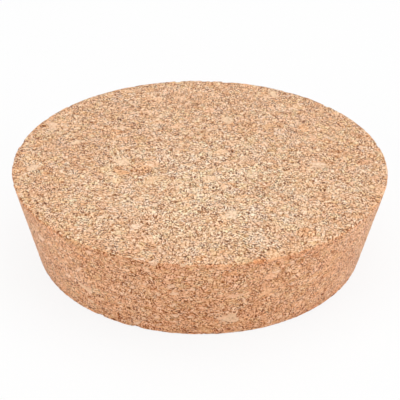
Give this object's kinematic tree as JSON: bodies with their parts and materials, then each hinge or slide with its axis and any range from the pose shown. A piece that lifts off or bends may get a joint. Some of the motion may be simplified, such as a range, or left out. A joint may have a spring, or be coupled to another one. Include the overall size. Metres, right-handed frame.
{
  "type": "cork stopper",
  "caption": "Wide tapered disc stopper of agglomerated cork that wedges into the mouth of a jar.",
  "frame": {"origin": "centre of the narrow bottom face, on which the stopper stands", "axes": "+Z along the stopper's axis, from the narrow face that goes into the jar to the wide face that stays outside; X and Y are any two directions across it"},
  "size_m": [0.1018, 0.1018, 0.025],
  "materials": {
    "cork": "matte"
  },
  "bodies": {
    "root": {"cork_stopper": "cork"}
  },
  "joints": []
}
